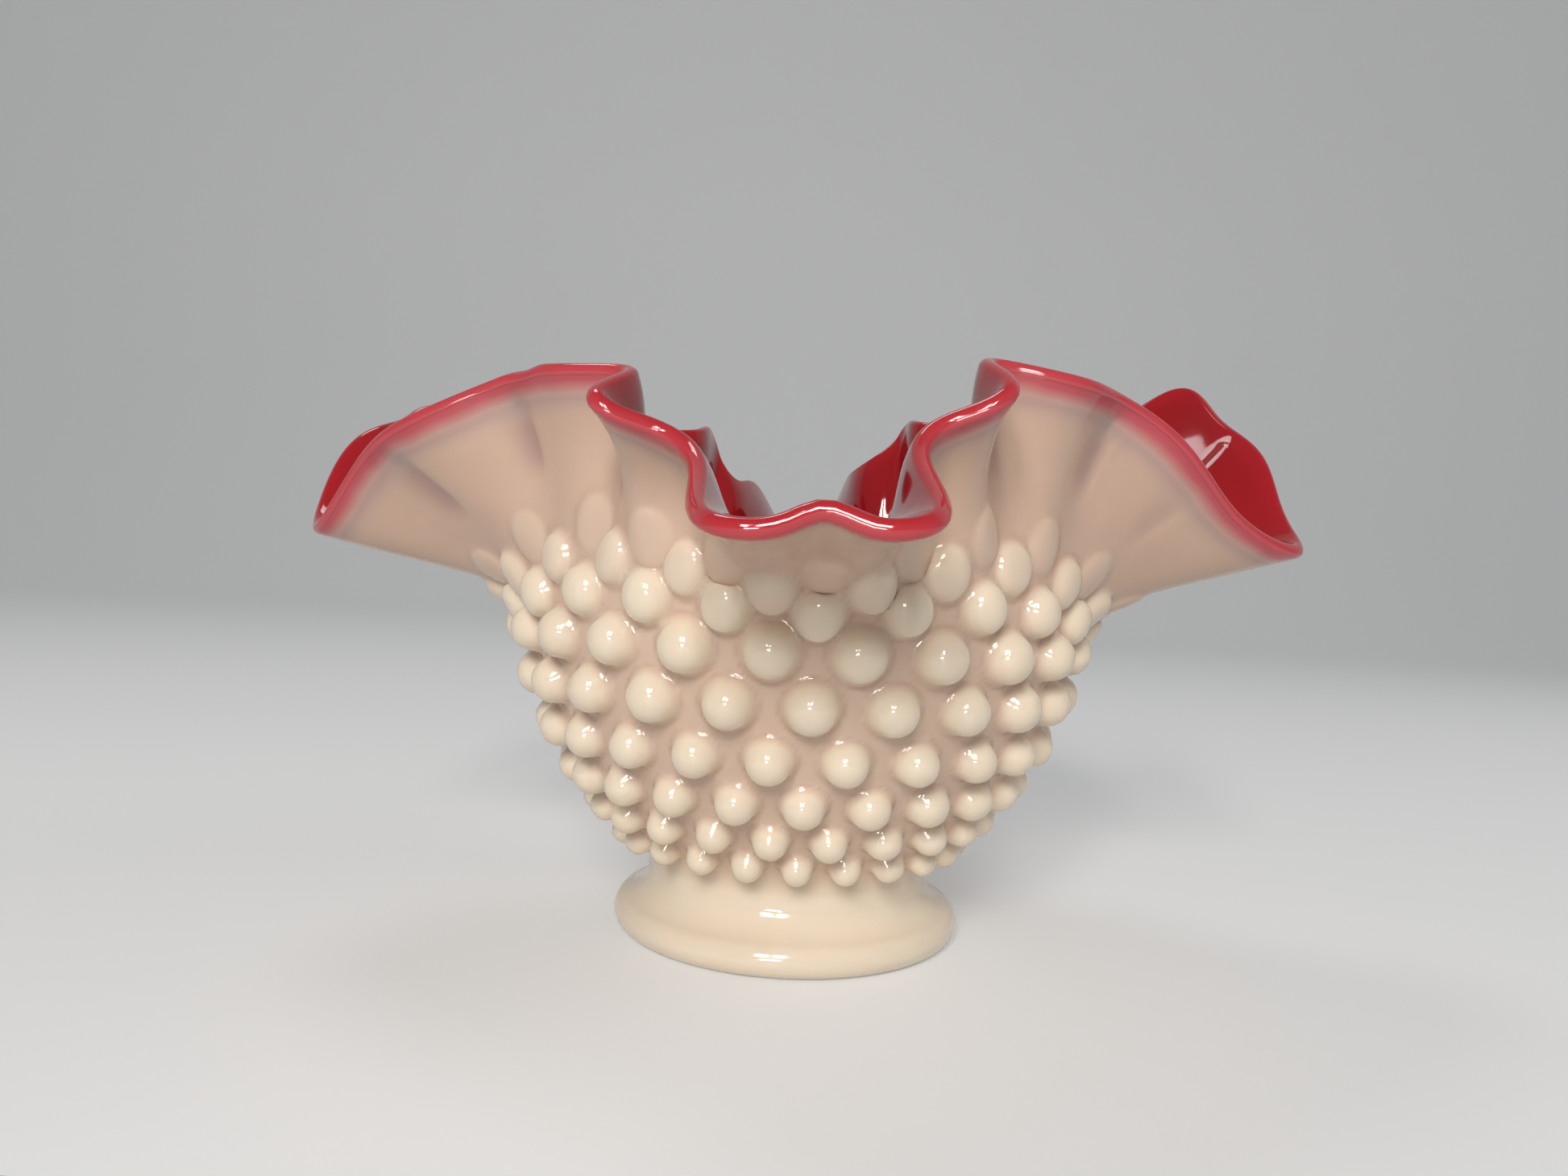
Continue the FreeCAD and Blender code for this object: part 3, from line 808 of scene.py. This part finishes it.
def milk_glass():
    """Opal white glass, glossy from the mould, with ruby showing through where it thins to the lip."""
    glass, nodes, links, shader = new_glass("milk_glass")
    clouds = noise_on(nodes, links, 28, 3)
    mottled = between(nodes, links, clouds, 0.35, 0.7, 0, 1)
    thin = blend_colours(nodes, links, mottled, *thin_opal)
    thick = blend_colours(nodes, links, mottled, *thick_opal)
    # the opal mark also carries the painted shade round the hobs' roots
    opal = between(nodes, links, mark_of(nodes, "opal_and_root_shade"), 0, 0.9, 0, 1)
    plain = blend_colours(nodes, links, opal, thin, thick)
    # painted shade along the creases, mixed into the glass's colour
    crease_darkening = between(nodes, links, mark_of(nodes, "crease_shade_amount"), 0.1, 1.0, 0, 0.75)
    body = blend_colours(nodes, links, crease_darkening, plain, crease_shade)
    ragged = noise_on(nodes, links, 90, 2)
    wander = between(nodes, links, ragged, 0.3, 0.7, -0.4, 0.4)
    moved = nodes.new("ShaderNodeMath")
    moved.operation = "ADD"
    links.new(mark_of(nodes, "below_lip"), moved.inputs[0])
    links.new(wander, moved.inputs[1])
    tint = between(nodes, links, moved.outputs[0], 0, milk_blush_length, 0, 1)
    edge = ramp(nodes, links, tint, [
        (0.00, rolled_red), (0.12, (0.57, 0.10, 0.12)), (0.25, (0.59, 0.21, 0.20)),
        (0.38, (0.57, 0.345, 0.295)), (0.52, (0.52, 0.345, 0.30)), (1.00, (0.62, 0.43, 0.35))])
    near = between(nodes, links, tint, 0.55, 1.0, 1, 0)
    links.new(blend_colours(nodes, links, near, body, edge), shader.inputs["Base Color"])
    shader.inputs["Subsurface Weight"].default_value = 0.35
    shader.inputs["Subsurface Radius"].default_value = (1.0, 0.62, 0.5)
    shader.inputs["Subsurface Scale"].default_value = 0.002
    shader.inputs["IOR"].default_value = 1.5
    links.new(between(nodes, links, clouds, 0.3, 0.7, 0.06, 0.12), shader.inputs["Roughness"])
    bump = nodes.new("ShaderNodeBump")
    bump.inputs["Strength"].default_value = 0.25
    bump.inputs["Distance"].default_value = 0.0004
    links.new(noise_on(nodes, links, 170, 1), bump.inputs["Height"])
    links.new(bump.outputs["Normal"], shader.inputs["Normal"])
    return glass


def ruby_glass():
    """Deep ruby over opal, lighter and pinker in the rolled edge, where nothing dark lies behind it."""
    glass, nodes, links, shader = new_glass("ruby_glass")
    swirl = noise_on(nodes, links, 40, 2)
    deep = blend_colours(nodes, links, between(nodes, links, swirl, 0.3, 0.7, 0, 1), *deep_ruby)
    tint = between(nodes, links, mark_of(nodes, "below_lip"), -roll_length, ruby_pale_length, 0, 1)
    edge = ramp(nodes, links, tint, [
        (0.0, rolled_red), (0.12, (0.55, 0.055, 0.07)), (0.26, (0.49, 0.030, 0.040)),
        (0.42, (0.41, 0.010, 0.017)), (1.0, (0.35, 0.007, 0.010))])
    near = between(nodes, links, tint, 0.6, 1.0, 1, 0)
    links.new(blend_colours(nodes, links, near, deep, edge), shader.inputs["Base Color"])
    shader.inputs["Subsurface Weight"].default_value = 0.15
    shader.inputs["Subsurface Radius"].default_value = (1.0, 0.1, 0.1)
    shader.inputs["Subsurface Scale"].default_value = 0.002
    shader.inputs["IOR"].default_value = 1.52
    shader.inputs["Roughness"].default_value = 0.07
    bump = nodes.new("ShaderNodeBump")
    bump.inputs["Strength"].default_value = 0.2
    bump.inputs["Distance"].default_value = 0.0004
    links.new(noise_on(nodes, links, 140, 1), bump.inputs["Height"])
    links.new(bump.outputs["Normal"], shader.inputs["Normal"])
    return glass


# ---- the vase -----------------------------------------------------------------------------------
white = milk_glass()
red = ruby_glass()

milk = milk_glass_body()
raise_hobs(milk, white)
ruby = ruby_lining()
ruby.data.materials.append(red)
for piece, node, slot in ((milk, "milk_glass_body", "milk_glass"), (ruby, "ruby_lining", "ruby_glass")):
    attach(piece, "root")
    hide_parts(node)


# ---- floor, light and camera ----------------------------------------------------------------------
# metres, as are the lamps' and the camera's places
floor_front, bend_start, bend_radius = -2.5, 0.9, 0.6
wall_top, floor_half_width = 3.0, 4.0
bend_steps = 12
floor_glow = 0.2              # how much paler the floor shows itself than the lamps make it
daylight = (1.0, 0.98, 0.95)
aim = Vector((0, 0, 0.05))    # the middle of the vase, which every lamp faces


def sweep_floor():
    """A pale floor that curves up into a pale wall behind the vase."""
    line = [(floor_front, 0.0), (bend_start, 0.0)]
    for angle in np.linspace(0, math.pi / 2, bend_steps + 1)[1:]:
        line.append((bend_start + bend_radius * math.sin(angle), bend_radius - bend_radius * math.cos(angle)))
    line.append((bend_start + bend_radius, wall_top))
    points = [(side * floor_half_width, y, z) for y, z in line for side in (-1, 1)]
    faces = [(2 * i, 2 * i + 1, 2 * i + 3, 2 * i + 2) for i in range(len(line) - 1)]
    mesh = bpy.data.meshes.new("floor")
    mesh.from_pydata(points, [], faces)
    mesh.shade_smooth()
    floor = bpy.data.objects.new("floor", mesh)
    bpy.context.scene.collection.objects.link(floor)
    paint = bpy.data.materials.new("pale_floor")
    paint.use_nodes = True
    nodes, links = paint.node_tree.nodes, paint.node_tree.links
    shader = nodes["Principled BSDF"]
    shader.inputs["Base Color"].default_value = (0.72, 0.72, 0.71, 1)
    shader.inputs["Roughness"].default_value = 0.7
    shader.inputs["Emission Color"].default_value = (0.97, 0.98, 1.0, 1)
    seen = nodes.new("ShaderNodeLightPath")
    shown = seen.outputs["Is Camera Ray"]
    for ray in ("Is Glossy Ray", "Is Transmission Ray"):
        either = nodes.new("ShaderNodeMath")
        either.operation = "MAXIMUM"
        links.new(shown, either.inputs[0])
        links.new(seen.outputs[ray], either.inputs[1])
        shown = either.outputs[0]
    links.new(between(nodes, links, shown, 0, 1, 0, floor_glow), shader.inputs["Emission Strength"])
    mesh.materials.append(paint)


def soft_light(name, place, width, height, power, colour=(1, 1, 1)):
    """A rectangular lamp that faces the vase."""
    lamp = bpy.data.lights.new(name, "AREA")
    lamp.shape = "RECTANGLE"
    lamp.size = width
    lamp.size_y = height
    lamp.energy = power
    lamp.color = colour
    light = bpy.data.objects.new(name, lamp)
    light.location = place
    light.rotation_euler = (aim - Vector(place)).to_track_quat("-Z", "Y").to_euler()
    bpy.context.scene.collection.objects.link(light)
    return light


sweep_floor()
soft_light("window_left", (-0.21, -0.84, 0.50), 0.13, 0.30, 3.3, daylight)
soft_light("window_right", (-0.02, -0.87, 0.51), 0.13, 0.30, 3.0, daylight)
soft_light("front", (-0.12, -1.0, 0.20), 0.7, 0.7, 0.4, daylight).visible_glossy = False
soft_light("glint", (-0.12, -0.90, 0.13), 0.20, 0.13, 2.0, daylight).visible_diffuse = False
soft_light("side", (0.75, 0.1, 0.5), 0.4, 0.4, 1.0).visible_glossy = False
soft_light("top", (-0.25, 0.30, 0.9), 0.25, 0.25, 1.0)

world = bpy.data.worlds.new("room")
bpy.context.scene.world = world
world.use_nodes = True
world.node_tree.nodes["Background"].inputs["Color"].default_value = (0.9, 0.92, 0.95, 1)
world.node_tree.nodes["Background"].inputs["Strength"].default_value = 0.19


camera_place = (0, -0.183392, 0.059251)
camera_lens = 24.97
pitch, roll, yaw = 0.01614, 0.050866, -0.015541           # radians


def stand_camera():
    """A hand-held view from close in front, level with the rim's dips and slightly rolled."""
    camera = bpy.data.cameras.new("camera")
    camera.sensor_width = 36
    camera.sensor_fit = "HORIZONTAL"
    camera.lens = camera_lens
    turn = Matrix(((math.cos(yaw), -math.sin(yaw), 0), (math.sin(yaw), math.cos(yaw), 0), (0, 0, 1)))
    nod = Matrix((
        (1, 0, 0), (0, math.cos(pitch), -math.sin(pitch)), (0, math.sin(pitch), math.cos(pitch))))
    right, ahead, up = nod @ turn
    across = right * math.cos(roll) + up * math.sin(roll)
    upright = across.cross(ahead)
    pose = Matrix((across, upright, -ahead)).transposed().to_4x4()
    pose.translation = camera_place
    view = bpy.data.objects.new("camera", camera)
    view.matrix_world = pose
    bpy.context.scene.collection.objects.link(view)
    bpy.context.scene.camera = view


stand_camera()
bpy.context.scene.view_settings.view_transform = "Standard"
